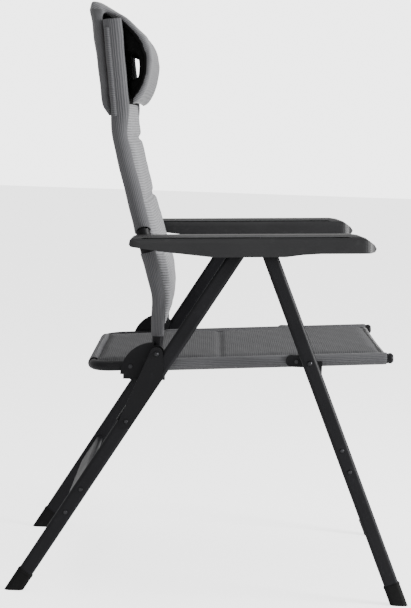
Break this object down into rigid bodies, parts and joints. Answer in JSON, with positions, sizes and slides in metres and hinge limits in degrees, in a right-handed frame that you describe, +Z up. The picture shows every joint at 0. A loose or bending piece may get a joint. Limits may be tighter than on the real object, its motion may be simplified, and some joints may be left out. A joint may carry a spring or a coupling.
{
  "type": "folding camp chair",
  "caption": "Folding reclining camp chair: high padded mesh back with sliding head pillow, padded seat, flat-oval legs, hinged armrests.",
  "frame": {"origin": "on the floor under the middle of the chair's bounding box", "axes": "+X to the front of the chair, +Y to its left side, +Z up"},
  "size_m": [0.816, 0.624, 1.19],
  "materials": {
    "frame_paint": "satin black powder coat on aluminium",
    "seat_mesh": "padded grey spacer mesh",
    "back_mesh": "padded grey spacer mesh",
    "pillow_mesh": "dark grey mesh",
    "foot_rubber": "matt",
    "armrest_plastic": "fine grained black",
    "dark_steel": "blackened",
    "black_plastic": "moulded nylon"
  },
  "bodies": {
    "seat": {"seat_frame": "frame_paint", "seat_cross_bar": "frame_paint", "seat_front_caps": "black_plastic", "seat_sling": "seat_mesh", "hinge_bracket_left": "black_plastic", "hinge_bracket_right": "black_plastic", "front_bracket_left": "black_plastic", "front_bracket_right": "black_plastic", "hinge_bolts": "dark_steel", "front_pivot_bolts": "dark_steel", "front_pivot_spacers": "black_plastic", "bracket_rivets": "dark_steel"},
    "rear_legs": {"rear_leg_left": "frame_paint", "rear_leg_right": "frame_paint", "rear_cross_bar": "frame_paint", "rear_foot_left": "foot_rubber", "rear_foot_right": "foot_rubber", "rear_top_plugs": "black_plastic", "hinge_plate_left": "black_plastic", "hinge_plate_right": "black_plastic", "hinge_plate_rivets": "dark_steel", "rear_bar_screws": "dark_steel"},
    "front_legs": {"front_leg_left": "frame_paint", "front_leg_right": "frame_paint", "front_cross_bar": "frame_paint", "front_foot_left": "foot_rubber", "front_foot_right": "foot_rubber", "front_top_plugs": "black_plastic", "rack_pins": "dark_steel", "front_bar_screws": "dark_steel"},
    "back_bushes": {"back_pivot_bushes": "dark_steel"},
    "back": {"back_frame": "frame_paint", "back_panel": "back_mesh", "armrest_bolts": "dark_steel", "armrest_cuff_left": "black_plastic", "armrest_cuff_right": "black_plastic"},
    "armrest_bush_left": {"armrest_bush_left": "dark_steel"},
    "armrest_bush_right": {"armrest_bush_right": "dark_steel"},
    "armrest_left": {"armrest_left": "armrest_plastic", "armrest_rack_left": "black_plastic", "rack_screws_left": "dark_steel"},
    "armrest_right": {"armrest_right": "armrest_plastic", "armrest_rack_right": "black_plastic", "rack_screws_right": "dark_steel"},
    "head_pillow": {"head_pillow": "pillow_mesh"}
  },
  "joints": [
    {"name": "fold", "type": "hinge", "parent": "seat", "child": "front_legs", "pos_m": [0.19073, 0, 0.486], "axis": [0, 1, 0], "range_deg": [0, 101]},
    {"name": "rear_leg_fold", "type": "hinge", "parent": "seat", "child": "rear_legs", "pos_m": [-0.114, 0, 0.492], "axis": [0, 1, 0], "range_deg": [0, 53.1]},
    {"name": "back_fold", "type": "hinge", "parent": "seat", "child": "back_bushes", "pos_m": [-0.114, 0, 0.492], "axis": [0, 1, 0], "range_deg": [0, 82.1]},
    {"name": "recline", "type": "hinge", "parent": "back_bushes", "child": "back", "pos_m": [-0.114, 0, 0.492], "axis": [0, 1, 0], "range_deg": [-30, 0]},
    {"name": "armrest_level_left", "type": "hinge", "parent": "back", "child": "armrest_bush_left", "pos_m": [-0.14395, 0, 0.712], "axis": [0, 1, 0], "range_deg": [0, 23.5]},
    {"name": "armrest_fold_left", "type": "hinge", "parent": "armrest_bush_left", "child": "armrest_left", "pos_m": [-0.14395, 0, 0.712], "axis": [0, 1, 0], "range_deg": [-108.1, 0]},
    {"name": "armrest_level_right", "type": "hinge", "parent": "back", "child": "armrest_bush_right", "pos_m": [-0.14395, 0, 0.712], "axis": [0, 1, 0], "range_deg": [0, 23.5]},
    {"name": "armrest_fold_right", "type": "hinge", "parent": "armrest_bush_right", "child": "armrest_right", "pos_m": [-0.14395, 0, 0.712], "axis": [0, 1, 0], "range_deg": [-108.1, 0]},
    {"name": "headrest_slide", "type": "slide", "parent": "back", "child": "head_pillow", "axis": [-0.1201, 0, 0.9928], "range_m": [0, 0.06]}
  ],
  "couplings": [
    {"joint": "rear_leg_fold", "follows": "fold", "ratio": 0.52475},
    {"joint": "back_fold", "follows": "fold", "ratio": 0.81188},
    {"joint": "armrest_level_left", "follows": "recline", "ratio": -0.78},
    {"joint": "armrest_fold_left", "follows": "fold", "ratio": -1.0693},
    {"joint": "armrest_level_right", "follows": "recline", "ratio": -0.78},
    {"joint": "armrest_fold_right", "follows": "fold", "ratio": -1.0693}
  ]
}
